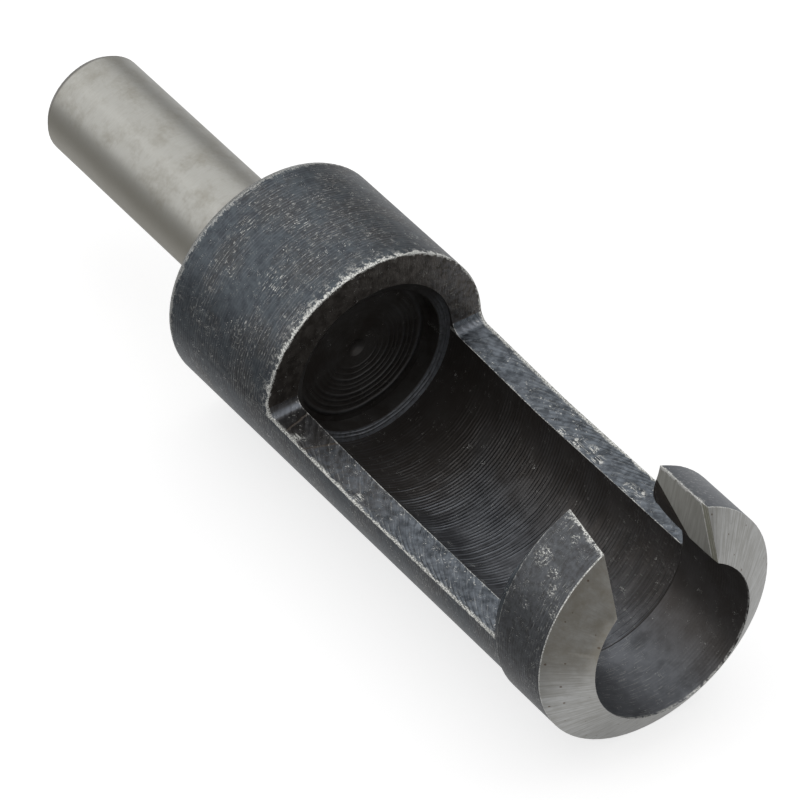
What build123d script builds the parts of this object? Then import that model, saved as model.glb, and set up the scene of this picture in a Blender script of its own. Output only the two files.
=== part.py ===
from build123d import *
from math import acos, atan2, cos, degrees, radians, sin, tan
import os

# Plug cutter: a hollow steel cutter that a drill turns to cut round wooden plugs.
# Sizes are in millimetres and angles in degrees.
# The axis runs along X, the shank's end is at x = 0, and the window faces up.

# Shank, gripped by the chuck
shank_diameter = 6.35
shank_length = 17.7
shank_break_length = 0.32
shank_break_depth = 0.2

# Body, between the shank's shoulder and the cutting head
body_diameter = 13.75
body_length = 29.66
body_break_length = 0.22
body_break_depth = 0.1

# Cutting head, a little wider than the body so that only it rubs in the cut
head_diameter = 14.15
head_length = 3.84

# Bevel ground on the head's end, falling back behind the tooth like a screw
bevel_angle = 33.0
bevel_lead = 0.42

# Bore that takes the plug: a close front stretch and a wider clearance behind it
plug_diameter = 9.525
plug_length = 4.05
clearance_diameter = 10.0
clearance_length = 20.35
bottom_angle = 142.0

# Deeper pocket that the first drill leaves in the bore's bottom, with a pit at its centre
pocket_diameter = 8.8
pocket_depth = 0.9
pocket_angle = 168.0
pit_diameter = 1.1
pit_depth = 0.3

# Window that opens the bore from above, measured from the shoulder, the head's back and the axis
window_start = 9.3
window_rear_drop = 0.1
window_drop = 0.45
window_ramp_length = 7.5
window_ramp_radius = 12.0
window_corner_radius = 0.7
window_floor_end = 0.43
window_front_radius = 0.25
window_upright_height = 3.3
window_lean_height = 6.0
window_lean_radius = 4.0
window_overcut = 0.05

# Gap in the head between the tooth's rake face and the heel, measured from the axis
rake_offset = 1.82
rake_angle = 8.5
heel_offset = 2.8
heel_angle = 7.9
gap_floor = 2.0

# Throat that rounds off the rake face's lower rear corner, and the honed cutting edge
throat_height = 5.62
throat_length = 3.04
throat_drop = 1.52
throat_radius = 2.9
throat_depth = 1.0
hone_width = 0.5
hone_angle = 8.0

# How far a cutting shape runs past the metal that it cuts, at most and at least
margin = 5.0
reach = 1.0

# Half the turn left between the ends of the bevel's cut, inside the gap
bevel_run_out = 5.0

shank_radius = shank_diameter / 2
body_radius = body_diameter / 2
head_radius = head_diameter / 2
plug_radius = plug_diameter / 2
clearance_radius = clearance_diameter / 2
pocket_radius = pocket_diameter / 2
pit_radius = pit_diameter / 2

shoulder_x = shank_length
head_x = shoulder_x + body_length
bevel_x = head_x + head_length
bevel_slope = tan(radians(bevel_angle))
tip_x = bevel_x + (head_radius - plug_radius) * bevel_slope
blank_x = tip_x + margin

step_x = bevel_x - plug_length
wall_x = step_x - clearance_length
bottom_slope = 1 / tan(radians(bottom_angle / 2))
pocket_slope = 1 / tan(radians(pocket_angle / 2))
rim_x = wall_x - (clearance_radius - pocket_radius) * bottom_slope
pocket_x = rim_x - pocket_depth
centre_x = pocket_x - pocket_radius * pocket_slope
window_x = shoulder_x + window_start
window_top = head_radius + margin
rake_slope = tan(radians(rake_angle))
heel_slope = tan(radians(heel_angle))


# A point on the tooth's rake face, at a place along the axis and a height above it
def on_rake_face(x, height):
    return Vector(x, rake_offset + rake_slope * height, height)


# The height above the axis where the rake face meets a given radius
def rake_height(radius):
    run = rake_offset * cos(radians(rake_angle))
    return (radius**2 - run**2) ** 0.5 * cos(radians(rake_angle)) - run * sin(radians(rake_angle))


# The angle round the axis where the heel's slanted face meets the head's rim
def heel_corner_angle():
    return degrees(acos(-(heel_offset + head_length * heel_slope) / head_radius))


# A solid turned about the axis from half its section, drawn in the upright plane
def turned(outline):
    return revolve(Plane.XZ * make_face(outline), Axis.X)


# Shank, body and head turned from one bar
def turned_blank():
    outline = Polyline(
        (0, 0),
        (0, shank_radius - shank_break_depth),
        (shank_break_length, shank_radius),
        (shoulder_x, shank_radius),
        (shoulder_x, body_radius - body_break_depth),
        (shoulder_x + body_break_length, body_radius),
        (head_x, body_radius),
        (head_x, head_radius),
        (blank_x, head_radius),
        (blank_x, 0),
        close=True,
    )
    return turned(outline)


# Stepped bore with a narrow sloping floor at its blind end and the pocket beyond it
def plug_bore():
    outline = Polyline(
        (centre_x, 0),
        (pocket_x, pocket_radius),
        (rim_x, pocket_radius),
        (wall_x, clearance_radius),
        (step_x, clearance_radius),
        (step_x, plug_radius),
        (blank_x + margin, plug_radius),
        (blank_x + margin, 0),
        close=True,
    )
    return turned(outline)


# Pit that the drill's point leaves at the centre of the pocket
def centre_pit():
    outline = Polyline(
        (centre_x - pit_depth, 0),
        (centre_x + pit_radius * pocket_slope, pit_radius),
        (centre_x + pit_radius * pocket_slope, 0),
        close=True,
    )
    return turned(outline)


# Side profile of the window, milled straight across the body
def window():
    floor_end_x = head_x - window_floor_end
    front_x = head_x + window_overcut
    profile = FilletPolyline(
        (window_x, window_top),
        (window_x, -window_rear_drop),
        (window_x + window_ramp_length, -window_drop),
        (floor_end_x, -window_drop),
        (floor_end_x, window_upright_height),
        (front_x, window_lean_height),
        (front_x, window_top),
        radius=[
            window_corner_radius,
            window_ramp_radius,
            window_front_radius,
            window_lean_radius,
            window_lean_radius,
        ],
    )
    outline = make_face(profile + Line(profile @ 1, profile @ 0))
    return extrude(Plane.XZ * outline, head_radius + margin, both=True)


# Gap through the head, bounded by the leaning rake face and the slanted heel
def head_gap():
    across = Polyline(
        (-window_top, gap_floor),
        (on_rake_face(0, gap_floor).Y, gap_floor),
        (on_rake_face(0, window_top).Y, window_top),
        (-window_top, window_top),
        close=True,
    )
    along = Polyline(
        (head_x - reach, -heel_offset + reach * heel_slope),
        (blank_x + margin, -heel_offset - (blank_x + margin - head_x) * heel_slope),
        (blank_x + margin, window_top),
        (head_x - reach, window_top),
        close=True,
    )
    leaning = extrude(Plane.YZ * make_face(across), blank_x + 2 * margin)
    slanted = extrude(make_face(along), window_top)
    return leaning & slanted


# A workplane on the rake face, with its X axis along a line of that face
def rake_plane(start, end):
    return Plane(origin=start, x_dir=end - start, z_dir=(0, -1, rake_slope))


# Space above the bore on the tooth's side, from the head's back forward
def tooth_room():
    return Pos(head_x, 0, gap_floor) * Box(2 * margin, window_top, window_top, align=Align.MIN)


# Rounded throat that clears chips from under the rake face
def throat():
    rear = on_rake_face(head_x, throat_height)
    front = on_rake_face(head_x + throat_length, throat_height - throat_drop)
    below = Pos(0, 0, -throat_depth) * Box(
        4 * margin, 2 * margin, margin, align=(Align.CENTER, Align.MAX, Align.MIN)
    )
    rounding = Pos(0, 0, -throat_radius) * Cylinder(throat_radius, 4 * margin, rotation=(0, 90, 0))
    return rake_plane(rear, front) * (below - rounding) & tooth_room()


# Honed strip along the cutting edge, a plane that hinges on a line of the rake face
def honed_edge():
    inner = on_rake_face(tip_x - hone_width, rake_height(plug_radius))
    outer = on_rake_face(bevel_x - hone_width, rake_height(head_radius))
    beyond = Box(4 * margin, 4 * margin, margin, align=(Align.CENTER, Align.CENTER, Align.MIN))
    return rake_plane(inner, outer) * Rot(hone_angle, 0, 0) * beyond & tooth_room()


# Bevel that a grinder leaves as it falls back round the head, from the tooth to the heel
def relieved_bevel():
    section = Polyline(
        (head_radius + reach, -reach * bevel_slope),
        (plug_radius - reach, tip_x - bevel_x + reach * bevel_slope),
        (plug_radius - reach, blank_x + reach - bevel_x),
        (head_radius + reach, blank_x + reach - bevel_x),
        close=True,
    )
    swept_turn = 1 - 2 * bevel_run_out / 360
    path = Helix(bevel_lead, bevel_lead * swept_turn, head_radius)
    ring = sweep(Plane.XZ * make_face(section), path, is_frenet=True)
    edge_height = rake_height(head_radius)
    edge_angle = degrees(atan2(edge_height, on_rake_face(0, edge_height).Y))
    start_angle = (edge_angle + heel_corner_angle()) / 2 + bevel_run_out
    turned_to_edge = (edge_angle + 360 - start_angle) / 360
    start = Vector(bevel_x - bevel_lead * turned_to_edge, 0, 0)
    start_side = (0, cos(radians(start_angle)), sin(radians(start_angle)))
    return Plane(origin=start, x_dir=start_side, z_dir=(1, 0, 0)) * ring


# Built along the axis, then laid with its middle over the origin and its head on the ground
def plug_cutter():
    cutter = turned_blank() - plug_bore() - centre_pit() - window() - head_gap()
    cutter = cutter - throat() - honed_edge() - relieved_bevel()
    box = cutter.bounding_box()
    return Pos(-(box.min.X + box.max.X) / 2, 0, head_radius) * cutter


os.makedirs("parts", exist_ok=True)
export_step(plug_cutter(), "parts/plug_cutter.step")
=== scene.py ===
import bmesh
import bpy
from math import hypot, pi, radians, cos, sin
from mathutils import Matrix, Vector


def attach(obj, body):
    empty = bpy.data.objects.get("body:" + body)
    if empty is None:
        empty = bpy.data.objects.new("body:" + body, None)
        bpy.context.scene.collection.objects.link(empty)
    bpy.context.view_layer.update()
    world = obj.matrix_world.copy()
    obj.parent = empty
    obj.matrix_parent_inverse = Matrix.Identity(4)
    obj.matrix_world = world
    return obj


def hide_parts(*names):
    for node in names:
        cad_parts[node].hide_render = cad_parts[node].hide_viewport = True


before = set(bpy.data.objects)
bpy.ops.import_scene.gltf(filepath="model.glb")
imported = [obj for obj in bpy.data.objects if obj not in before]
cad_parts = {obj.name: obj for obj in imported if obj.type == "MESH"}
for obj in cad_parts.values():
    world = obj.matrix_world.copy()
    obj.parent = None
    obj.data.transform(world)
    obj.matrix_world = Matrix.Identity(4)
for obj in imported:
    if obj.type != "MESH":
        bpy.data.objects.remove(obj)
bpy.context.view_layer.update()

# Plug cutter. The scene is in metres, but the cutter's own sizes below are in millimetres.
# Its axis runs along X, with the cutting end at +X, the tooth at +Y and the window up.
# Heights and distances below are measured from that axis, which lies axisHeight over the floor.

cutter = {
    "axisHeight": 7.075,
    "shankEndX": -26.346,
    "shankBreak": 0.32,
    "shoulderX": -8.646,
    "rimBreak": 0.22,
    "boreEndX": 0.454,
    "windowX": 0.654,
    "rampEndX": 8.154,
    "frontWallX": 20.584,
    "stepX": 20.804,
    "headX": 21.014,
    "bevelX": 24.854,
    "bevelLead": 0.42,  # how far the bevel falls back in one turn
    "edgeTurn": 165,  # degrees from straight down to the cutting edge, where that turn starts
    "rampTop": -0.1,
    "landHeight": -0.45,
    "throatTop": 5.62,
    "pocketRadius": 4.4,
    "boreRadius": 5.0,
    "bodyRadius": 6.875,
    "headRadius": 7.075,
    "rakeOffset": 1.82,
    "rakeSlope": 0.1495,
    "heelOffset": 2.8,
    "heelSlope": 0.1388,
    "landFade": (20.7, 20.5),  # the wear along the window's edges ends between these
    "bodyFade": (20.9, 20.7),  # the body's own marks end between these, inside and out
}


# Camera

camera = {
    "place": (0.182417, -0.130966, 0.201105),
    "azimuth": -36.11,
    "elevation": 41.25,
    "roll": 0.82,
    "lens": 254.4,
    "sensor": 36,
    "nearest": 0.01,
    "farthest": 20,
}


def addCamera():
    data = bpy.data.cameras.new("productCamera")
    data.lens, data.sensor_width = camera["lens"], camera["sensor"]
    data.clip_start, data.clip_end = camera["nearest"], camera["farthest"]
    made = bpy.data.objects.new("productCamera", data)
    az, el = radians(camera["azimuth"]), radians(camera["elevation"])
    back = Vector((cos(el) * cos(az), cos(el) * sin(az), sin(el)))
    roll = Matrix.Rotation(radians(camera["roll"]), 4, "Z")
    turn = back.to_track_quat("Z", "Y").to_matrix().to_4x4() @ roll
    made.matrix_world = Matrix.Translation(camera["place"]) @ turn
    bpy.context.scene.collection.objects.link(made)
    bpy.context.scene.camera = made


addCamera()
print("camera placed")


# Node helpers. A value may be a number, a colour or another node's output.

def addNode(tree, kind, sockets=None, **settings):
    made = tree.nodes.new(kind)
    for name, value in settings.items():
        setattr(made, name, value)
    for name, value in (sockets or {}).items():
        if isinstance(value, bpy.types.NodeSocket):
            tree.links.new(value, made.inputs[name])
        else:
            made.inputs[name].default_value = value
    return made


def calc(tree, operation, first, second=0.0, third=0.0):
    return addNode(tree, "ShaderNodeMath", {0: first, 1: second, 2: third}, operation=operation).outputs[0]


def minus(tree, first, second):
    return calc(tree, "SUBTRACT", first, second)


def times(tree, first, second):
    return calc(tree, "MULTIPLY", first, second)


# The first value times the second, plus the third
def timesPlus(tree, first, second, third):
    return calc(tree, "MULTIPLY_ADD", first, second, third)


# How far a value is from a place, on either side of it
def awayFrom(tree, value, place):
    return calc(tree, "ABSOLUTE", minus(tree, value, place))


def chained(tree, operation, values):
    total = values[0]
    for value in values[1:]:
        total = calc(tree, operation, total, value)
    return total


def strongest(tree, *masks):
    return chained(tree, "MAXIMUM", masks)


def overlap(tree, *masks):
    return chained(tree, "MULTIPLY", masks)


def ramp(tree, value, low, high, start=0.0, end=1.0, **settings):
    sockets = {"Value": value, "From Min": low, "From Max": high, "To Min": start, "To Max": end}
    return addNode(tree, "ShaderNodeMapRange", sockets, **settings).outputs["Result"]


# 0 at low, 1 at high and a soft step between, also where high is the smaller of the two
def fade(tree, value, low, high, start=0.0, end=1.0):
    return ramp(tree, value, low, high, start, end, interpolation_type="SMOOTHSTEP")


def mixColour(tree, share, first, second):
    made = addNode(tree, "ShaderNodeMix", data_type="RGBA")
    for index, value in ((0, share), (6, first), (7, second)):
        if isinstance(value, bpy.types.NodeSocket):
            tree.links.new(value, made.inputs[index])
        else:
            made.inputs[index].default_value = value if index == 0 else (*value, 1)
    return made.outputs[2]


def vector(tree, x, y, z=0.0):
    return addNode(tree, "ShaderNodeCombineXYZ", {0: x, 1: y, 2: z}).outputs[0]


def stretched(tree, place, scale, turn=0.0, shift=(0, 0, 0)):
    sockets = {"Vector": place, "Scale": scale, "Rotation": (0, 0, radians(turn)), "Location": shift}
    return addNode(tree, "ShaderNodeMapping", sockets).outputs[0]


def cloud(tree, place, scale, detail=3.0, roughness=0.55):
    sockets = {"Vector": place, "Scale": scale, "Detail": detail, "Roughness": roughness}
    return addNode(tree, "ShaderNodeTexNoise", sockets).outputs["Fac"]


# Uneven grain that decides how far a surface or an edge is worn
def wearGrain(tree, spot, scale=3.5, roughness=0.65):
    return cloud(tree, spot["place"], scale, 4.0, roughness)


# Evenly spaced ridges across a value, 0 in the grooves and 1 on the crests
def ridges(tree, value, pitch):
    wave = calc(tree, "SINE", times(tree, value, 2 * pi / pitch))
    return timesPlus(tree, wave, 0.5, 0.5)


# Scattered round spots on a flat or unrolled place, on a share of cells spacing apart
def spots(tree, flat, spacing, radius, share):
    sockets = {"Vector": flat, "Scale": 1 / spacing}
    cells = addNode(tree, "ShaderNodeTexVoronoi", sockets, voronoi_dimensions="2D")
    pick = addNode(tree, "ShaderNodeSeparateColor", {0: cells.outputs["Color"]}).outputs
    inside = calc(tree, "LESS_THAN", cells.outputs["Distance"], times(tree, pick[1], radius / spacing))
    return overlap(tree, inside, calc(tree, "LESS_THAN", pick[0], share))


# Thin straight marks on a share of the surface, sized along its first axis and across, then turned
def scratches(tree, flat, along, across, turn, share):
    grain = cloud(tree, stretched(tree, flat, (1 / along, 1 / across, 1), turn), 1.0, 0.0, 0.5)
    limit = 0.78 - 0.2 * share
    return fade(tree, grain, limit, limit + 0.05)


# Soft round areas, 1 in their middle, from a list of (first place, second place, size)
def areas(tree, flat, places):
    made = []
    for first, second, size in places:
        sockets = {0: flat, 1: (first, second, 0)}
        away = addNode(tree, "ShaderNodeVectorMath", sockets, operation="DISTANCE").outputs["Value"]
        made.append(fade(tree, away, size, size * 0.3))
    return strongest(tree, *made)


# Small ragged flecks of bare metal, in loose groups
def flecks(tree, spot, size, share):
    groups = fade(tree, cloud(tree, spot["place"], 0.9, 2.0), 0.66 - 0.2 * share, 0.8 - 0.2 * share)
    grit = cloud(tree, spot["place"], 1 / size, 2.0, 0.7)
    return overlap(tree, groups, fade(tree, grit, 0.62, 0.68))


# A ragged worn band that starts where a distance is 0 and ends near the width
def wornBand(tree, distance, width, grain):
    reach = times(tree, fade(tree, grain, 0.3, 0.7), 2 * width)
    edge = calc(tree, "DIVIDE", distance, strongest(tree, reach, 0.001))
    return overlap(tree, fade(tree, edge, 1.1, 0.35), calc(tree, "GREATER_THAN", distance, -0.2))


# Where a point of the cutter is, in millimetres from its axis, with its turn round the axis from
# straight down, in radians towards the tooth, and its surface unrolled flat
def cutterPlace(tree):
    coords = addNode(tree, "ShaderNodeTexCoord").outputs["Object"]
    sockets = {"Vector": coords, "Scale": (1000, 1000, 1000), "Location": (0, 0, -cutter["axisHeight"])}
    place = addNode(tree, "ShaderNodeMapping", sockets).outputs[0]
    x, y, z = addNode(tree, "ShaderNodeSeparateXYZ", {0: place}).outputs
    turn = calc(tree, "ARCTAN2", y, times(tree, z, -1))
    return {
        "place": place, "x": x, "y": y, "z": z, "turn": turn,
        "side": calc(tree, "ABSOLUTE", y),
        "radius": calc(tree, "SQRT", timesPlus(tree, z, z, times(tree, y, y))),
        "skin": vector(tree, x, times(tree, turn, cutter["bodyRadius"])),
    }


# Height of the window's floor along the axis
def landLine(tree, x):
    return ramp(tree, x, cutter["windowX"], cutter["rampEndX"], cutter["rampTop"], cutter["landHeight"])


# Place along the axis of the bevel's outer edge, which falls back round the head
def bevelLine(tree, turn):
    perRadian = cutter["bevelLead"] / (2 * pi)
    start = cutter["bevelX"] - perRadian * radians(cutter["edgeTurn"])
    return timesPlus(tree, turn, perRadian, start)


def newMaterial(name):
    made = bpy.data.materials.new(name)
    made.use_nodes = True
    made.node_tree.nodes.clear()
    return made, made.node_tree


# Metal whose bump height is given in hundredths of a millimetre
def metalShader(tree, colour, roughness, height, metallic=1.0):
    sockets = {"Height": height, "Strength": 1.0, "Distance": 0.00001}
    bump = addNode(tree, "ShaderNodeBump", sockets).outputs[0]
    sockets = {"Base Color": colour, "Roughness": roughness, "Metallic": metallic, "Normal": bump}
    shader = addNode(tree, "ShaderNodeBsdfPrincipled", sockets)
    addNode(tree, "ShaderNodeOutputMaterial", {"Surface": shader.outputs[0]})


# Black oxide, worn through to the steel where the wear is 1

oxide = {
    "brown": (0.082, 0.069, 0.058),
    "crest": (0.21, 0.225, 0.25),
    "rubbed": (0.29, 0.295, 0.28),
    "steel": (0.88, 0.88, 0.84),
    "steelRoughness": 0.4,
    "roughnessSpread": 0.16,
    "wornMetallic": 0.45,
    "speckSpacing": 0.15,
    "speckRadius": 0.042,
    "speckShare": 0.22,
    "dotSpacing": 0.7,
    "dotRadius": 0.07,
    "dotShare": 0.3,
    "dotWear": 0.9,
    "fineHeight": 0.25,
    "wornHeight": 0.9,
}


# A look gives dark, light, cloudSize, roughness, metallic and specks, which is a share of the usual
# number. Brown and crest are how far a place turns to those colours, which some finishes also use for
# painted shade and painted highlight, and flat is where the specks lie.
def oxideMetal(tree, spot, look, wear, height, flat=None, brown=0.0, crest=0.0):
    clouds = cloud(tree, spot["place"], 1 / look["cloudSize"], 5.0, 0.6)
    tone = mixColour(tree, fade(tree, clouds, 0.32, 0.68), look["dark"], look["light"])
    tone = mixColour(tree, brown, tone, oxide["brown"])
    tone = mixColour(tree, crest, tone, oxide["crest"])

    fine = cloud(tree, spot["place"], 9.0, 2.0, 0.6)
    grit = cloud(tree, spot["place"], 14.0, 1.0, 0.6)
    sockets = {0: flat or spot["skin"], 1: vector(tree, fine, grit)}
    bent = addNode(tree, "ShaderNodeVectorMath", sockets).outputs[0]
    speckShare, dotShare = (oxide[name] * look["specks"] for name in ("speckShare", "dotShare"))
    specks = spots(tree, bent, oxide["speckSpacing"], oxide["speckRadius"], speckShare)
    specks = overlap(tree, specks, fade(tree, fine, 0.42, 0.62, 0.15, 0.9))
    dots = spots(tree, bent, oxide["dotSpacing"], oxide["dotRadius"], dotShare)
    shown = strongest(tree, wear, specks, overlap(tree, dots, oxide["dotWear"]))
    worn = mixColour(tree, fade(tree, grit, 0.4, 0.56), oxide["rubbed"], oxide["steel"])
    colour = mixColour(tree, shown, tone, worn)

    rough = timesPlus(tree, fine, oxide["roughnessSpread"], look["roughness"] - oxide["roughnessSpread"] / 2)
    rough = timesPlus(tree, minus(tree, oxide["steelRoughness"], rough), shown, rough)
    grain = times(tree, fine, oxide["fineHeight"])
    grain = timesPlus(tree, overlap(tree, shown, grit), oxide["wornHeight"], grain)
    metallic = fade(tree, shown, 0.0, 1.0, look["metallic"], oxide["wornMetallic"])
    metalShader(tree, colour, rough, calc(tree, "ADD", height, grain), metallic)


# Bright satin shank with fine marks round it and brownish stains, with painted shade in the stain colour low
# on the heel's side

shank = {
    "bright": (0.47, 0.468, 0.442),
    "stainAndShade": (0.335, 0.318, 0.275),
    "edgeDark": (0.16, 0.15, 0.135),
    "roughness": 0.36,
    "markSpacing": 0.07,
    "markShade": 0.22,
    "markHeight": 0.12,
    "shadeTurns": (-128, -98, -62),  # degrees where the painted shade low on the heel's side starts, is full and ends
    "shadeFade": 0.3,  # radians over which that painted shade ends
}


def shankSteel():
    made, tree = newMaterial("shankSteel")
    spot = cutterPlace(tree)
    lines = cloud(tree, stretched(tree, spot["skin"], (1 / shank["markSpacing"], 0.5, 1)), 1.0, 2.0, 0.6)
    stains = cloud(tree, spot["place"], 0.55, 6.0, 0.68)
    mottle = cloud(tree, spot["place"], 5.0, 4.0, 0.7)
    start, full, end = (radians(turn) for turn in shank["shadeTurns"])
    # painted shade in a band low on the heel's side, mixed below with the real stains
    side = fade(tree, spot["turn"], start, full)
    side = overlap(tree, side, fade(tree, spot["turn"], end + shank["shadeFade"], end))
    side = timesPlus(tree, stains, 0.4, times(tree, side, 0.9))
    stainsAndShadeMask = strongest(tree, fade(tree, timesPlus(tree, mottle, 0.35, stains), 0.5, 0.95), side)
    tone = mixColour(tree, times(tree, stainsAndShadeMask, 0.75), shank["bright"], shank["stainAndShade"])
    shade = times(tree, fade(tree, lines, 0.35, 0.7), shank["markShade"])
    tone = mixColour(tree, shade, tone, shank["stainAndShade"])
    fromEnd = minus(tree, spot["x"], cutter["shankEndX"])
    rim = fade(tree, fromEnd, cutter["shankBreak"] + 0.12, cutter["shankBreak"] - 0.05)
    tone = mixColour(tree, times(tree, rim, 0.8), tone, shank["edgeDark"])
    rough = timesPlus(tree, stainsAndShadeMask, 0.1, shank["roughness"])
    metalShader(tree, tone, rough, times(tree, lines, shank["markHeight"]))
    return made


# Outside of the body and head: turning lines, worn dashes along them, bruises and worn edges

turned = {
    "dark": (0.062, 0.07, 0.081),
    "light": (0.1, 0.115, 0.128),
    "roughness": 0.4,
    "metallic": 1.0,
    "specks": 1.0,
    "cloudSize": 0.45,
    "pitch": 0.19,
    "lineHeight": 0.6,
    "lineWander": 0.08,
    "lineCrest": 0.45,
    "headCrest": 0.3,
    "toothCrest": 0.7,
    "headBrown": 0.4,
    "dashLength": 0.34,
    "dashWidth": 0.065,
    "dashShare": 0.65,
    "dashWear": 0.68,
    # how wide the worn bands are and how far they are worn, where that is not to the bare steel
    "arcWidth": 0.27,
    "besideWidth": 0.8,
    "besideWear": 0.5,
    "landWidth": 0.07,
    "rimWidth": 0.16,
    "rimWear": 0.45,
    "stepWidth": 0.05,
    "stepWear": 0.35,
    "burrWidth": 0.15,
    # bruised places on the body and the head: along the axis, round it and size
    "bruises": [
        (-2.5, -17.1, 1.3), (-6.5, -18.2, 0.9), (-4.3, -20.4, 0.9), (-2.8, -14.1, 0.7),
        (0.3, -16.6, 1.0), (21.6, -18.4, 0.7),
    ],
    # small bright clusters on the heel, given the same way
    "clusters": [
        (23.45, -15.3, 0.45), (21.3, -18.7, 0.5), (21.8, -16.3, 0.7), (22.6, -17.9, 0.35),
        (22.9, -16.0, 0.45), (24.2, -14.4, 0.3), (22.4, -13.8, 0.3),
    ],
}


# Worn bands round the window, on the rims and along the edges of the heel, the tooth and the bevel
def turnedBands(tree, spot, grain):
    x, y, z = spot["x"], spot["y"], spot["z"]
    above = fade(tree, z, -0.3, 0.05)
    behind = fade(tree, x, cutter["windowX"] + 0.2, cutter["windowX"] + 0.1)
    arc = wornBand(tree, minus(tree, cutter["windowX"], x), turned["arcWidth"], grain)
    arc = overlap(tree, arc, above, behind)
    beside = fade(tree, minus(tree, cutter["windowX"] - 0.2, x), turned["besideWidth"], 0.0)
    beside = overlap(tree, beside, above, fade(tree, grain, 0.5, 0.6), fade(tree, y, 3, 0), behind)
    land = wornBand(tree, minus(tree, landLine(tree, x), z), turned["landWidth"], grain)
    ahead = calc(tree, "GREATER_THAN", x, cutter["windowX"])
    land = overlap(tree, land, ahead, fade(tree, x, *cutter["landFade"]))
    rim = minus(tree, x, cutter["shoulderX"] + cutter["rimBreak"])
    rim = wornBand(tree, rim, turned["rimWidth"], grain)

    high = fade(tree, z, 1.5, 2.5)
    onFront = calc(tree, "GREATER_THAN", x, cutter["frontWallX"])
    heelStart = cutter["headX"] * cutter["heelSlope"] - cutter["heelOffset"]
    heel = minus(tree, timesPlus(tree, x, -cutter["heelSlope"], heelStart), y)
    heel = overlap(tree, wornBand(tree, heel, turned["burrWidth"], grain), high, onFront)
    tooth = minus(tree, y, timesPlus(tree, z, cutter["rakeSlope"], cutter["rakeOffset"]))
    line = fade(tree, tooth, 0.14, 0.08)
    tooth = strongest(tree, wornBand(tree, tooth, turned["burrWidth"], grain), line)
    tooth = overlap(tree, tooth, fade(tree, y, 1.5, 1.7), high, onFront)
    step = wornBand(tree, minus(tree, x, cutter["headX"]), turned["stepWidth"], grain)
    step = overlap(tree, step, calc(tree, "GREATER_THAN", spot["radius"], 7.0))
    bevel = fade(tree, minus(tree, bevelLine(tree, spot["turn"]), x), 0.1, 0.04)
    return strongest(tree, arc, land, heel, tooth, bevel, times(tree, beside, turned["besideWear"]),
                     times(tree, step, turned["stepWear"]), times(tree, rim, turned["rimWear"]))


def turnedOxide():
    made, tree = newMaterial("turnedOxide")
    spot = cutterPlace(tree)
    x, y, place, skin = spot["x"], spot["y"], spot["place"], spot["skin"]
    grain = wearGrain(tree, spot)
    wander = timesPlus(tree, cloud(tree, place, 0.8, 2.0), turned["lineWander"], x)
    lines = ridges(tree, wander, turned["pitch"])
    uneven = cloud(tree, stretched(tree, skin, (7, 0.2, 1)), 1.0, 2.0)
    patches = cloud(tree, stretched(tree, place, (1, 1, 1), 0, (3.1, 0.4, 1.2)), 0.42, 2.0, 0.5)
    bruised = areas(tree, skin, turned["bruises"])
    onHead = fade(tree, x, cutter["headX"] - 0.05, cutter["headX"] + 0.05)
    onTooth = overlap(tree, onHead, fade(tree, y, 0, 2), fade(tree, spot["z"], 0, 2))

    # what is worn to the steel
    dashes = scratches(tree, skin, turned["dashWidth"], turned["dashLength"], 0, turned["dashShare"])
    near = times(tree, fade(tree, patches, 0.42, 0.6), 0.45)
    dashes = times(tree, overlap(tree, dashes, strongest(tree, near, bruised)), turned["dashWear"])
    chips = fade(tree, cloud(tree, stretched(tree, skin, (9, 4.5, 1)), 1.0, 3.0, 0.7), 0.62, 0.68)
    chips = overlap(tree, chips, bruised, 0.8)
    bare = overlap(tree, flecks(tree, spot, 0.12, 0.6), fade(tree, onHead, 0, 1, 0.9, 0.3))
    ragged = cloud(tree, stretched(tree, skin, (5, 9, 1), 35), 1.0, 3.0, 0.7)
    clusters = overlap(tree, areas(tree, skin, turned["clusters"]), fade(tree, ragged, 0.52, 0.58))
    wear = strongest(tree, turnedBands(tree, spot, grain), chips, dashes, bare, clusters)

    # where the turning lines show clearly
    clear = strongest(tree, fade(tree, patches, 0.3, 0.6, 0.3, 1.0), bruised)
    seen = strongest(tree, fade(tree, y, 1.0, 0.0), fade(tree, x, *cutter["bodyFade"]), 0.1)
    outermost = fade(tree, spot["radius"], cutter["bodyRadius"] - 0.25, cutter["bodyRadius"] - 0.1)
    clear = overlap(tree, clear, seen, outermost)
    height = overlap(tree, calc(tree, "ADD", lines, uneven), clear, turned["lineHeight"])

    brown = fade(tree, timesPlus(tree, grain, 0.4, patches), 0.6, 0.9, 0.0, 0.35)
    brown = strongest(tree, brown, overlap(tree, onHead, turned["headBrown"]))
    crest = overlap(tree, fade(tree, lines, 0.4, 1.0), fade(tree, uneven, 0.35, 0.65), clear,
                    turned["lineCrest"])
    rubbed = overlap(tree, onHead, fade(tree, grain, 0.35, 0.65), turned["headCrest"])
    crest = strongest(tree, crest, rubbed, overlap(tree, onTooth, turned["toothCrest"]))
    oxideMetal(tree, spot, turned, wear, height, brown=brown, crest=crest)
    return made


# Window floor on both sides, milled by a round cutter that left bowed steps

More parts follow.
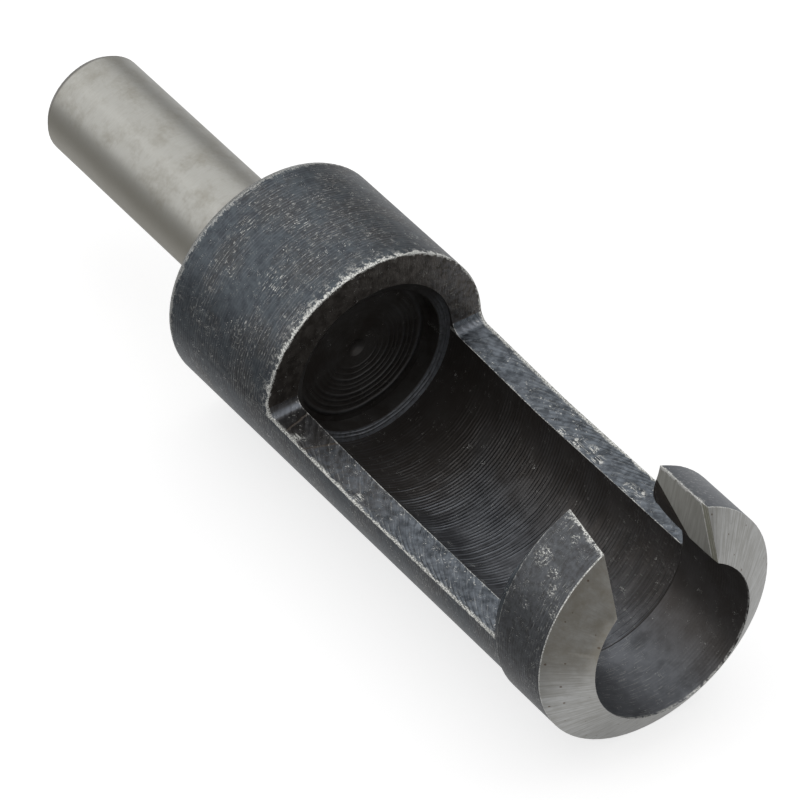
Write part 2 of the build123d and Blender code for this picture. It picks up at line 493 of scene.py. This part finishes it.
milled = {
    "dark": (0.062, 0.07, 0.08),
    "light": (0.18, 0.2, 0.225),
    "roughness": 0.4,
    "metallic": 1.0,
    "specks": 0.8,
    "cloudSize": 0.5,
    "toolRadius": 7.0,
    "pitch": 0.55,
    "finePitch": 0.14,
    "bowHeight": 1.4,
    "deeperBow": 2.4,  # added to that height on the heel's side, from between the deeperX on
    "deeperX": (9, 12),
    "fineHeight": 0.6,
    "chatterHeight": 1.6,
    "edgeWidth": 0.13,
    "innerWidth": 0.04,
    # steps across the floor near its rear: along the axis at the middle of the floor, how far the
    # line leans for each millimetre outward, and height
    "steps": [(1.95, 0.28, 7.0), (4.05, -0.35, 6.0)],
    "cornerHighlightX": 0.98,  # middle of the painted highlight across the floor's rear corner
    "heelBrownX": (12, 8),  # the heel's side turns brown rearward between these
    # chipped places: along the axis, across it and size
    "chips": [
        (10.1, 5.2, 0.4), (11.3, 5.3, 0.6), (12.1, 5.6, 0.5), (12.9, 5.4, 0.5), (15.5, 5.4, 0.5),
        (16.2, 5.6, 0.4), (19.9, -6.3, 0.35), (2.8, -6.5, 0.4), (8.2, -6.4, 0.4),
    ],
}


def milledOxide():
    made, tree = newMaterial("milledOxide")
    spot = cutterPlace(tree)
    x, y, side, place = spot["x"], spot["y"], spot["side"], spot["place"]
    grain = wearGrain(tree, spot)
    heelSide = fade(tree, y, 1, -1)

    # bowed marks of the tool, which follow its round edge
    circle = minus(tree, milled["toolRadius"] ** 2, times(tree, side, side))
    sweep = calc(tree, "ADD", x, calc(tree, "SQRT", strongest(tree, circle, 0.0)))
    wander = timesPlus(tree, cloud(tree, place, 0.7, 2.0), 0.6, sweep)
    coarse = ridges(tree, wander, milled["pitch"])
    fine = ridges(tree, timesPlus(tree, grain, 0.1, wander), milled["finePitch"])
    shown = fade(tree, cloud(tree, place, 0.6, 1.0), 0.4, 0.6)
    bow = overlap(tree, fade(tree, x, *milled["deeperX"]), heelSide)
    bow = timesPlus(tree, bow, milled["deeperBow"], milled["bowHeight"])
    height = timesPlus(tree, coarse, bow, overlap(tree, fine, shown, milled["fineHeight"]))
    chatter = cloud(tree, stretched(tree, vector(tree, wander, side), (5, 1.2, 1)), 1.0, 3.0, 0.6)
    height = timesPlus(tree, chatter, milled["chatterHeight"], height)

    # steps across the floor, each with a painted shade line at its foot
    middle = (cutter["boreRadius"] + cutter["bodyRadius"]) / 2
    shade = 0.0
    for stepX, lean, fall in milled["steps"]:
        line = timesPlus(tree, minus(tree, side, middle), -lean, x)
        line = timesPlus(tree, grain, 0.16, line)
        height = calc(tree, "ADD", height, fade(tree, line, stepX, stepX + 0.12, fall, 0.0))
        shade = strongest(tree, shade, fade(tree, awayFrom(tree, line, stepX + 0.03), 0.16, 0.04))
    # painted shade over the floor behind the last step, on the heel's side
    lastStep = milled["steps"][-1][0]
    rearShade = overlap(tree, fade(tree, x, lastStep + 0.1, lastStep), heelSide)

    flat = vector(tree, x, y)
    wide = timesPlus(tree, cloud(tree, place, 0.8, 2.0), 0.6, times(tree, grain, 0.6))
    outer = minus(tree, cutter["bodyRadius"], spot["radius"])
    outer = wornBand(tree, outer, milled["edgeWidth"], wide)
    inner = minus(tree, spot["radius"], cutter["boreRadius"])
    inner = wornBand(tree, inner, milled["innerWidth"], grain)
    crests = overlap(tree, fade(tree, coarse, 0.9, 1.0), fade(tree, chatter, 0.5, 0.65), 0.3)
    chipped = strongest(tree, scratches(tree, flat, 0.9, 0.07, 25, 1.0), fade(tree, grain, 0.55, 0.6))
    chips = overlap(tree, areas(tree, flat, milled["chips"]), chipped)
    bare = flecks(tree, spot, 0.16, 0.8)
    wear = strongest(tree, outer, times(tree, inner, 0.7), crests, bare, chips)

    # painted highlight across the floor's rear corner
    cornerHighlight = overlap(tree, fade(tree, awayFrom(tree, x, milled["cornerHighlightX"]), 0.22, 0.08), 0.9)
    crest = strongest(tree, overlap(tree, fade(tree, fine, 0.5, 1.0), shown, 0.3), cornerHighlight)
    heelBrown = fade(tree, x, *milled["heelBrownX"])
    heelBrown = overlap(tree, heelBrown, fade(tree, grain, 0.3, 0.6), heelSide, 0.5)
    # brown holds the painted shade behind the last step and at the steps' feet, and the heel's side browning
    brown = strongest(tree, times(tree, rearShade, 0.6), heelBrown, overlap(tree, shade, heelSide, 0.95))
    oxideMetal(tree, spot, milled, wear, height, flat, brown=brown, crest=crest)
    return made


# Upright walls at the window's two ends, rough and dark, with a painted highlight on the side towards the
# tooth

walls = {
    "dark": (0.022, 0.019, 0.017),
    "light": (0.13, 0.12, 0.11),
    "roughness": 0.45,
    "metallic": 0.7,
    "specks": 0.5,
    "cloudSize": 0.5,
    "brown": 0.4,
    "edgeWidth": 0.1,
    "grainHeight": 3.5,
    "markHeight": 3.0,
}


def windowWall():
    made, tree = newMaterial("windowWall")
    spot = cutterPlace(tree)
    grain = wearGrain(tree, spot)
    marks = cloud(tree, stretched(tree, spot["place"], (0.5, 4, 0.8)), 1.0, 4.0, 0.7)
    outer = minus(tree, cutter["bodyRadius"], spot["radius"])
    outer = wornBand(tree, outer, walls["edgeWidth"], grain)
    wear = strongest(tree, outer, overlap(tree, flecks(tree, spot, 0.14, 0.4), 0.4))
    height = timesPlus(tree, grain, walls["grainHeight"], times(tree, marks, walls["markHeight"]))
    # painted highlight towards the tooth's side, where the light falls
    toothSideHighlight = overlap(tree, fade(tree, spot["y"], 2, 5), fade(tree, grain, 0.4, 0.6), 0.25)
    flat = vector(tree, spot["y"], spot["z"])
    oxideMetal(tree, spot, walls, wear, height, flat, brown=walls["brown"], crest=toothSideHighlight)
    return made


# Bore: coarse turned ridges in the clearance, a smoother close stretch in the head

bore = {
    "dark": (0.053, 0.055, 0.061),
    "light": (0.125, 0.131, 0.143),
    "roughness": 0.38,
    "metallic": 0.65,
    "specks": 0.3,
    "cloudSize": 1.4,
    "pitch": 0.21,
    "coarseSpacing": 0.5,
    "coarseHeight": 2.0,
    "ridgeHeight": 3.2,
    "closeHeight": 0.12,  # share of the ridges' height that is left in the head
    "chatterHeight": 3.5,
    "chatterX": (13, 18),
    "grooveDepth": 7.0,
    "grooveWidth": 0.09,
    "lipWidth": 0.03,
    "mouthWidth": (1.32, 1.42),  # the ragged bright edge starts this far ahead of the bevel's outer edge
}


def boreOxide():
    made, tree = newMaterial("boreOxide")
    spot = cutterPlace(tree)
    x, y, place, skin = spot["x"], spot["y"], spot["place"], spot["skin"]
    grain = wearGrain(tree, spot)
    wander = timesPlus(tree, cloud(tree, place, 0.5, 2.0), 0.16, x)
    uneven = cloud(tree, stretched(tree, skin, (5, 0.12, 1)), 1.0, 2.0)
    fine = overlap(tree, ridges(tree, wander, bore["pitch"]), fade(tree, uneven, 0.3, 0.6, 0.3, 1.0))
    coarse = cloud(tree, stretched(tree, skin, (1 / bore["coarseSpacing"], 0.06, 1)), 1.0, 1.0, 0.5)
    patches = fade(tree, cloud(tree, stretched(tree, skin, (0.5, 0.3, 1)), 1.0, 2.0), 0.35, 0.6, 0.25, 1.0)
    patches = overlap(tree, patches, fade(tree, x, 2, 8, 0.25, 1.0))
    chatter = cloud(tree, stretched(tree, skin, (2.2, 5, 1), 20), 1.0, 3.0, 0.7)
    nearHead = overlap(tree, fade(tree, x, *bore["chatterX"]), fade(tree, x, *cutter["bodyFade"]))
    close = fade(tree, x, *reversed(cutter["bodyFade"]))
    ridged = fade(tree, close, 0, 1, 1, bore["closeHeight"])
    height = timesPlus(tree, fine, bore["ridgeHeight"], times(tree, coarse, bore["coarseHeight"]))
    height = overlap(tree, height, ridged, patches)
    height = timesPlus(tree, overlap(tree, chatter, nearHead), bore["chatterHeight"], height)
    groove = fade(tree, awayFrom(tree, x, cutter["stepX"]), bore["grooveWidth"], 0.0)
    height = timesPlus(tree, groove, -bore["grooveDepth"], height)

    lip = wornBand(tree, minus(tree, landLine(tree, x), spot["z"]), bore["lipWidth"], grain)
    lip = overlap(tree, lip, fade(tree, x, *cutter["landFade"]))
    mouth = minus(tree, bevelLine(tree, spot["turn"]), x)
    mouth = fade(tree, mouth, *(-ahead for ahead in bore["mouthWidth"]))
    mouth = overlap(tree, mouth, fade(tree, grain, 0.4, 0.55), 0.7)
    strokes = overlap(tree, fade(tree, chatter, 0.58, 0.68), nearHead, 0.18)
    hoops = overlap(tree, scratches(tree, skin, 0.05, 1.3, 3, 0.7), close, fade(tree, y, 3, 0), 0.14)
    bare = overlap(tree, flecks(tree, spot, 0.15, 0.25), 0.4)
    wear = strongest(tree, times(tree, lip, 0.6), mouth, strokes, hoops, bare)

    # painted highlight on the ridges, strongest on the heel's side, with a painted sheen over the close
    # stretch on that side
    crest = overlap(tree, fade(tree, fine, 0.5, 0.95), patches, ridged, fade(tree, y, 3, -1, 0.15, 1.0))
    crest = strongest(tree, crest, overlap(tree, close, fade(tree, y, 3, -1), 0.25))
    # brown: painted shade towards the tooth's side, a painted shadow line in the groove at the step, and
    # browner towards the bottom of the bore
    brown = strongest(tree, fade(tree, y, 1, 4.5, 0.0, 0.7), overlap(tree, groove, 0.9),
                      fade(tree, x, 9, 4, 0.0, 0.75))
    oxideMetal(tree, spot, bore, wear, height, brown=brown, crest=crest)
    return made


# Bottom of the bore, with the rings that the drill left

bottom = {
    "dark": (0.05, 0.046, 0.043),
    "light": (0.1, 0.1, 0.1),
    "roughness": 0.36,
    "metallic": 0.65,
    "specks": 0.2,
    "cloudSize": 1.4,
    "brown": 0.3,
    "fineSpacing": 0.12,
    "fineHeight": 1.6,
    # raised rings: radius, half width and height
    "rings": [
        (3.9, 0.2, 9.0), (3.5, 0.1, 3.5), (3.2, 0.1, 3.5), (2.9, 0.14, 6.0), (2.55, 0.09, 3.0),
        (2.3, 0.09, 3.0), (2.0, 0.12, 5.0), (1.65, 0.09, 3.0), (1.3, 0.1, 3.0), (4.75, 0.07, 2.5),
        (4.57, 0.06, 2.0),
    ],
    "ringWander": 0.12,
    "crestHeight": 30,  # a ring this high gets the full painted highlight
}


def boreBottom():
    made, tree = newMaterial("boreBottom")
    spot = cutterPlace(tree)
    grain = wearGrain(tree, spot)
    wander = cloud(tree, spot["place"], 0.5, 1.0)
    radius = timesPlus(tree, wander, bottom["ringWander"], spot["radius"])
    around = vector(tree, radius, times(tree, spot["turn"], 0.3))
    height = times(tree, cloud(tree, around, 1 / bottom["fineSpacing"], 2.0, 0.6), bottom["fineHeight"])
    crest = 0.0
    for place, width, rise in bottom["rings"]:
        ring = fade(tree, awayFrom(tree, radius, place + bottom["ringWander"] / 2), width, 0.0)
        height = timesPlus(tree, ring, rise, height)
        crest = strongest(tree, crest, times(tree, ring, rise / bottom["crestHeight"]))
    # painted highlight on the ring crests and on the pocket's rim, and the rings' bumps, only on the lower
    # part, towards the tooth
    lower = fade(tree, minus(tree, spot["z"], times(tree, spot["y"], 0.5)), 2.0, -1.8, 0.1, 1.0)
    rim = fade(tree, spot["radius"], cutter["pocketRadius"], cutter["pocketRadius"] + 0.08, 0.0, 0.9)
    crest = overlap(tree, strongest(tree, crest, rim), fade(tree, grain, 0.3, 0.6, 0.4, 1.0), lower)
    flat = vector(tree, spot["y"], spot["z"])
    height = overlap(tree, height, lower)
    oxideMetal(tree, spot, bottom, 0.0, height, flat, brown=bottom["brown"], crest=crest)
    return made


# Bevel, freshly ground across its slope

ground = {
    "bright": (0.54, 0.545, 0.54),
    "dull": (0.36, 0.355, 0.335),
    "pit": (0.14, 0.1, 0.07),
    "stainAndShade": (0.27, 0.25, 0.21),
    "shadeTurns": (-75, -110),  # degrees where the painted shade on the heel's end starts and is full
    "roughness": 0.36,
    "roughnessSpread": 0.12,
    "lineSpacing": 0.11,
    "lineHeight": 0.5,
    "pitSpacing": 0.7,
    "pitRadius": 0.07,
    "pitShare": 0.4,
    "pitDepth": 0.5,
}


def groundBevel():
    made, tree = newMaterial("groundBevel")
    spot = cutterPlace(tree)
    skin = vector(tree, times(tree, spot["turn"], 6.0), spot["radius"])
    lines = cloud(tree, stretched(tree, skin, (1 / ground["lineSpacing"], 0.5, 1), 6), 1.0, 3.0, 0.65)
    mottle = cloud(tree, spot["place"], 2.2, 4.0, 0.6)
    tone = mixColour(tree, fade(tree, lines, 0.3, 0.7), ground["dull"], ground["bright"])
    tone = mixColour(tree, fade(tree, mottle, 0.4, 0.75, 0, 0.4), tone, ground["dull"])
    # painted shade, browner, on the heel's end of the bevel, broken up by the grinding lines and mottle
    side = fade(tree, spot["turn"], *(radians(turn) for turn in ground["shadeTurns"]))
    stainAndShade = timesPlus(tree, lines, 0.5, cloud(tree, spot["place"], 0.9, 4.0, 0.7))
    stainAndShade = overlap(tree, side, fade(tree, stainAndShade, 0.5, 1.0, 0.35, 0.95))
    tone = mixColour(tree, stainAndShade, tone, ground["stainAndShade"])
    pits = spots(tree, skin, ground["pitSpacing"], ground["pitRadius"], ground["pitShare"])
    tone = mixColour(tree, times(tree, pits, 0.75), tone, ground["pit"])
    rough = ground["roughness"] - ground["roughnessSpread"] / 2
    rough = timesPlus(tree, mottle, ground["roughnessSpread"], rough)
    height = timesPlus(tree, lines, ground["lineHeight"], times(tree, pits, -ground["pitDepth"]))
    metalShader(tree, tone, rough, height)
    return made


# Ground rake face of the tooth, lined up and down, and the narrow honed strip along its cutting edge

rake = {
    "bright": (0.55, 0.545, 0.505),
    "dull": (0.42, 0.41, 0.37),
    "honed": (0.43, 0.42, 0.34),
    "line": (0.95, 0.94, 0.9),
    "burrWidth": 0.12,
    "lineHeight": 0.5,
    "honedPitch": 0.16,
    "honedHeight": 0.4,
    # the line where the honed strip starts: how far it moves back for each millimetre up, and where
    # it would meet the axis
    "hingeSlope": 0.624,
    "hingePlace": 28.41,
    "roughness": 0.4,
    "metallic": 0.6,
}


def rakeGrind():
    made, tree = newMaterial("rakeGrind")
    spot = cutterPlace(tree)
    flat = vector(tree, spot["x"], spot["z"])
    lines = cloud(tree, stretched(tree, flat, (7, 0.5, 1), 4), 1.0, 3.0, 0.65)
    mottle = cloud(tree, spot["place"], 1.2, 4.0, 0.6)
    tone = mixColour(tree, fade(tree, lines, 0.3, 0.7), rake["dull"], rake["bright"])
    tone = mixColour(tree, fade(tree, mottle, 0.45, 0.8, 0, 0.5), tone, rake["dull"])
    burr = minus(tree, cutter["headRadius"], spot["radius"])
    burr = wornBand(tree, burr, rake["burrWidth"], wearGrain(tree, spot))
    tone = mixColour(tree, burr, tone, rake["line"])
    height = timesPlus(tree, lines, rake["lineHeight"], burr)
    metalShader(tree, tone, rake["roughness"], height, rake["metallic"])
    return made


def honedEdge():
    made, tree = newMaterial("honedEdge")
    spot = cutterPlace(tree)
    slanted = timesPlus(tree, spot["z"], rake["hingeSlope"], spot["x"])
    hinge = fade(tree, slanted, rake["hingePlace"] + 0.1, rake["hingePlace"] + 0.04)
    grain = wearGrain(tree, spot, 3.0)
    hinge = overlap(tree, hinge, fade(tree, grain, 0.3, 0.5))
    lines = ridges(tree, timesPlus(tree, grain, 0.06, slanted), rake["honedPitch"])
    bright = overlap(tree, fade(tree, lines, 0.75, 1.0), fade(tree, grain, 0.4, 0.55))
    bright = strongest(tree, times(tree, bright, 0.5), hinge)
    tone = mixColour(tree, bright, rake["honed"], rake["line"])
    height = times(tree, lines, rake["honedHeight"])
    metalShader(tree, tone, rake["roughness"], height, rake["metallic"])
    return made


# Throat under the rake face and the heel's wall across the gap, left dark

throat = {
    "dark": (0.035, 0.03, 0.026),
    "light": (0.07, 0.063, 0.056),
    "roughness": 0.45,
    "metallic": 0.7,
    "specks": 0.3,
    "cloudSize": 1.0,
    "brown": 0.4,
    "markHeight": 1.2,
}


def throatOxide():
    made, tree = newMaterial("throatOxide")
    spot = cutterPlace(tree)
    marks = cloud(tree, stretched(tree, spot["place"], (1.2, 3, 1.2)), 1.0, 4.0, 0.65)
    height = times(tree, marks, throat["markHeight"])
    flat = vector(tree, spot["x"], spot["z"])
    oxideMetal(tree, spot, throat, 0.0, height, flat, brown=throat["brown"])
    return made


# Small bevels on the edges: rubbed bright in most places, dull where the oxide held

edges = {
    "bright": (0.95, 0.94, 0.9),
    "dull": (0.27, 0.27, 0.25),
    "metallic": 0.5,
    "roughness": 0.36,
    "grainHeight": 1.5,
}


def wornEdge(name, bright):
    made, tree = newMaterial(name)
    spot = cutterPlace(tree)
    grain = wearGrain(tree, spot, 3.2, 0.7)
    share = fade(tree, grain, 0.62 - 0.3 * bright, 0.72 - 0.3 * bright)
    tone = mixColour(tree, share, edges["dull"], edges["bright"])
    height = times(tree, grain, edges["grainHeight"])
    metalShader(tree, tone, edges["roughness"], height, edges["metallic"])
    return made


finishMakers = {
    "shankSteel": shankSteel,
    "turnedOxide": turnedOxide,
    "milledOxide": milledOxide,
    "windowWall": windowWall,
    "boreOxide": boreOxide,
    "boreBottom": boreBottom,
    "groundBevel": groundBevel,
    "rakeGrind": rakeGrind,
    "honedEdge": honedEdge,
    "throatOxide": throatOxide,
    "brightEdge": lambda: wornEdge("brightEdge", 1.0),
    "rubbedEdge": lambda: wornEdge("rubbedEdge", 0.4),
}
finishOrder = list(finishMakers)


# How the solid's mesh becomes the dressed cutter, in millimetres and degrees
dressing = {
    "seamGap": 0.0001,  # corners nearer than this are one
    "cutGap": 0.001,  # the same after the spur is cut away
    "flatAngle": 0.4,  # faces that turn less than this are one
    "sharpAngle": 24,  # edges that turn more than this are creases
    "edgeBreak": 0.06,  # width of the small bevel on every crease
    "edgeSteps": 2,
    "slack": 0.01,  # how far off its own place a face may lie and still count as there
    "edgeSlack": 0.1,  # the same for the small bevels
    "throatSlope": 0.5,  # how much lower the throat starts for each millimetre forward of the head's back
}


# Where a face is, in millimetres from the axis, and how far it looks away from the axis
def faceFacts(face):
    place = face.calc_center_median() * 1000
    x, y, z = place.x, place.y, place.z - cutter["axisHeight"]
    radius = hypot(y, z)
    outward = (face.normal.y * y + face.normal.z * z) / max(radius, 1e-9)
    return x, y, z, radius, outward


# Which finish a face of the cutter has, by where it is and where it looks
def finishOf(face):
    x, y, z, radius, outward = faceFacts(face)
    normal, slack = face.normal, dressing["slack"]
    if x < cutter["shoulderX"] - slack:
        return "shankSteel"
    if x < cutter["boreEndX"] + slack and radius < cutter["boreRadius"] - slack:
        return "boreBottom"
    if outward < -0.9 and abs(normal.x) < 0.02 and radius < cutter["boreRadius"] + 2 * slack:
        return "boreOxide"
    if abs(x - cutter["stepX"]) < slack and radius < cutter["boreRadius"]:
        return "boreOxide"
    if outward > 0.98 or x < cutter["shoulderX"] + cutter["rimBreak"] + slack:
        return "turnedOxide"
    if abs(x - cutter["headX"]) < slack and normal.x < -0.9 and radius > cutter["bodyRadius"]:
        return "turnedOxide"
    if x > cutter["headX"] + 1 and normal.x > 0.5:
        return "groundBevel"
    if x < cutter["frontWallX"] + slack and normal.z > 0.25:
        return "milledOxide"
    throatTop = cutter["throatTop"] - dressing["throatSlope"] * (x - cutter["headX"])
    if x > cutter["frontWallX"] and y > 0 and normal.y < -0.9 and z > throatTop:
        return "honedEdge" if normal.x > 0.08 else "rakeGrind"
    if x > cutter["headX"] - 0.5 and (y > 0 or normal.y > 0.5) and abs(normal.x) < 0.9:
        return "throatOxide"
    return "windowWall"


# Which finish the small bevel along an edge has
def edgeFinishOf(face):
    x, _, z, radius, _ = faceFacts(face)
    slack = dressing["edgeSlack"]
    if x < cutter["shoulderX"] - 3 * slack:
        return "shankSteel"
    if radius < cutter["pocketRadius"] + slack and x < cutter["windowX"]:
        return "boreBottom"
    if x < cutter["boreEndX"] + slack and radius < cutter["boreRadius"] + slack:
        return "boreOxide"
    atStep = abs(x - cutter["stepX"]) < slack and z < cutter["landHeight"]
    if atStep and radius < cutter["boreRadius"] + slack / 2:
        return "boreOxide"
    if x < cutter["shoulderX"] + 5 * slack or (abs(x - cutter["headX"]) < slack and z < 0):
        return "rubbedEdge"
    return "brightEdge"


# A named object made from a bmesh shape, which is used up
def addPiece(name, shape):
    mesh = bpy.data.meshes.new(name)
    shape.to_mesh(mesh)
    shape.free()
    made = bpy.data.objects.new(name, mesh)
    bpy.context.scene.collection.objects.link(made)
    return made


# What is left of a piece once a tool has cut it. Both are used up.
def carved(made, tool):
    cut = made.modifiers.new("cut", "BOOLEAN")
    cut.operation, cut.solver, cut.object = "DIFFERENCE", "EXACT", tool
    bpy.context.view_layer.update()
    mesh = bpy.data.meshes.new_from_object(made.evaluated_get(bpy.context.evaluated_depsgraph_get()))
    shape = bmesh.new()
    shape.from_mesh(mesh)
    for used in (made, tool):
        bpy.data.meshes.remove(used.data)
    bpy.data.meshes.remove(mesh)
    return shape


# Thin spur of wall behind the head, which the throat clears too. A block cuts it away, less the
# lying round bar that the throat's rounding follows.
spur = {
    "backX": 20.5,
    "frontX": 21.02,
    "bottomZ": 3.2,
    "leftY": 1.9,
    "rightY": 3.4,
    "barRadius": 3.63,
    "barY": 6.25,
    "barZ": 5.083,
    "barLength": 4.0,
    "barSides": 160,
}


def spurTool():
    size = Vector((
        spur["frontX"] - spur["backX"],
        spur["rightY"] - spur["leftY"],
        cutter["throatTop"] - spur["bottomZ"],
    ))
    middle = Vector((spur["backX"], spur["leftY"], spur["bottomZ"] + cutter["axisHeight"])) + size / 2
    block = bmesh.new()
    place = Matrix.Translation(middle / 1000) @ Matrix.Diagonal((*size, 1))
    bmesh.ops.create_cube(block, size=0.001, matrix=place)
    bar = bmesh.new()
    middle = Vector((spur["frontX"], spur["barY"], spur["barZ"] + cutter["axisHeight"]))
    bmesh.ops.create_cone(
        bar, cap_ends=True, segments=spur["barSides"], radius1=spur["barRadius"] / 1000,
        radius2=spur["barRadius"] / 1000, depth=spur["barLength"] / 1000,
        matrix=Matrix.Translation(middle / 1000) @ Matrix.Rotation(pi / 2, 4, "Y"),
    )
    return addPiece("spurTool", carved(addPiece("spurBlock", block), addPiece("spurRound", bar)))


def isCrease(edge):
    return edge.is_manifold and edge.calc_face_angle() > radians(dressing["sharpAngle"])


def cutterBody():
    shape = bmesh.new()
    shape.from_mesh(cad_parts["plug_cutter"].data)
    bmesh.ops.remove_doubles(shape, verts=shape.verts, dist=dressing["seamGap"] / 1000)
    shape = carved(addPiece("cutterBlank", shape), spurTool())
    bmesh.ops.remove_doubles(shape, verts=shape.verts, dist=dressing["cutGap"] / 1000)
    bmesh.ops.dissolve_limit(
        shape, angle_limit=radians(dressing["flatAngle"]), verts=shape.verts, edges=shape.edges)
    bmesh.ops.recalc_face_normals(shape, faces=shape.faces)
    shape.normal_update()
    for face in shape.faces:
        face.material_index = finishOrder.index(finishOf(face))
    rounded = bmesh.ops.bevel(
        shape, geom=[edge for edge in shape.edges if isCrease(edge)], offset=dressing["edgeBreak"] / 1000,
        affect="EDGES", segments=dressing["edgeSteps"], profile=0.5, material=-1, clamp_overlap=True,
    )
    shape.normal_update()
    for face in rounded["faces"]:
        face.material_index = finishOrder.index(edgeFinishOf(face))
    for face in shape.faces:
        face.smooth = True
    for edge in shape.edges:
        edge.smooth = not isCrease(edge)
    return shape


def makeCutter():
    made = addPiece("dressedCutter", cutterBody())
    for maker in finishMakers.values():
        made.data.materials.append(maker())
    flatten = made.modifiers.new("flatFaces", "WEIGHTED_NORMAL")
    flatten.keep_sharp = True
    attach(made, "root")
    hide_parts("plug_cutter")


makeCutter()
print("cutter dressed in", len(finishMakers), "finishes")


# Studio: a pale floor that looks white, a soft world and large soft lamps

studio = {
    "floorSize": 3.0,
    "floorColour": (0.5, 0.5, 0.5),
    "cameraGlow": 0.74,  # the floor's own light as the camera sees it, on top of the lamps' light
    # The same as the cutter's metal mirrors it, by place across the axis: none in front of the
    # cutter, rising between the glowEdge places to stripGlow, and farGlow beyond the stripEdge ones
    "glowEdge": (-0.013, -0.005),
    "stripGlow": 0.43,
    "stripEdge": (-0.0025, -0.006),
    "farGlow": 0.32,
    "worldLevel": 0.36,
    "lamps": [
        # name, place, width, height, watts; each is aimed at the cutter
        ("sideLamp", (-0.5, -0.5, 0.34), 0.7, 0.6, 1.0),
        ("topLamp", (-0.35, 0.1, 0.75), 1.1, 1.1, 2.7),
        ("windowLamp", (0.1, 0.6, 0.45), 0.6, 0.6, 0.9),
    ],
}


def addFloor():
    shape = bmesh.new()
    bmesh.ops.create_grid(shape, x_segments=1, y_segments=1, size=studio["floorSize"] / 2)
    made = addPiece("studioFloor", shape)
    material, tree = newMaterial("paleFloor")
    plain = addNode(tree, "ShaderNodeBsdfDiffuse", {"Color": (*studio["floorColour"], 1)})
    light = addNode(tree, "ShaderNodeLightPath").outputs
    coords = addNode(tree, "ShaderNodeTexCoord").outputs["Object"]
    y = addNode(tree, "ShaderNodeSeparateXYZ", {0: coords}).outputs[1]
    mirrored = strongest(tree, light["Is Glossy Ray"], light["Is Transmission Ray"])
    strip = fade(tree, y, *studio["stripEdge"], studio["farGlow"], studio["stripGlow"])
    mirrored = overlap(tree, mirrored, fade(tree, y, *studio["glowEdge"]), strip)
    glow = timesPlus(tree, light["Is Camera Ray"], studio["cameraGlow"], mirrored)
    shine = addNode(tree, "ShaderNodeEmission", {"Strength": glow})
    lit = addNode(tree, "ShaderNodeAddShader", {0: plain.outputs[0], 1: shine.outputs[0]})
    addNode(tree, "ShaderNodeOutputMaterial", {"Surface": lit.outputs[0]})
    made.data.materials.append(material)


def addWorld():
    world = bpy.data.worlds.new("studioWorld")
    bpy.context.scene.world = world
    world.use_nodes = True
    tree = world.node_tree
    tree.nodes.clear()
    light = addNode(tree, "ShaderNodeLightPath").outputs
    level = ramp(tree, light["Is Camera Ray"], 0, 1, studio["worldLevel"])
    back = addNode(tree, "ShaderNodeBackground", {"Color": (1, 1, 1, 1), "Strength": level})
    addNode(tree, "ShaderNodeOutputWorld", {"Surface": back.outputs[0]})


def addLamps():
    for name, place, width, height, watts in studio["lamps"]:
        data = bpy.data.lights.new(name, "AREA")
        data.shape = "RECTANGLE"
        data.size, data.size_y, data.energy = width, height, watts
        made = bpy.data.objects.new(name, data)
        made.location = place
        made.rotation_euler = (-Vector(place)).to_track_quat("-Z", "Y").to_euler()
        bpy.context.scene.collection.objects.link(made)


addFloor()
addWorld()
addLamps()
bpy.context.scene.view_settings.view_transform = "Standard"
print("studio lit")

bpy.context.view_layer.update()
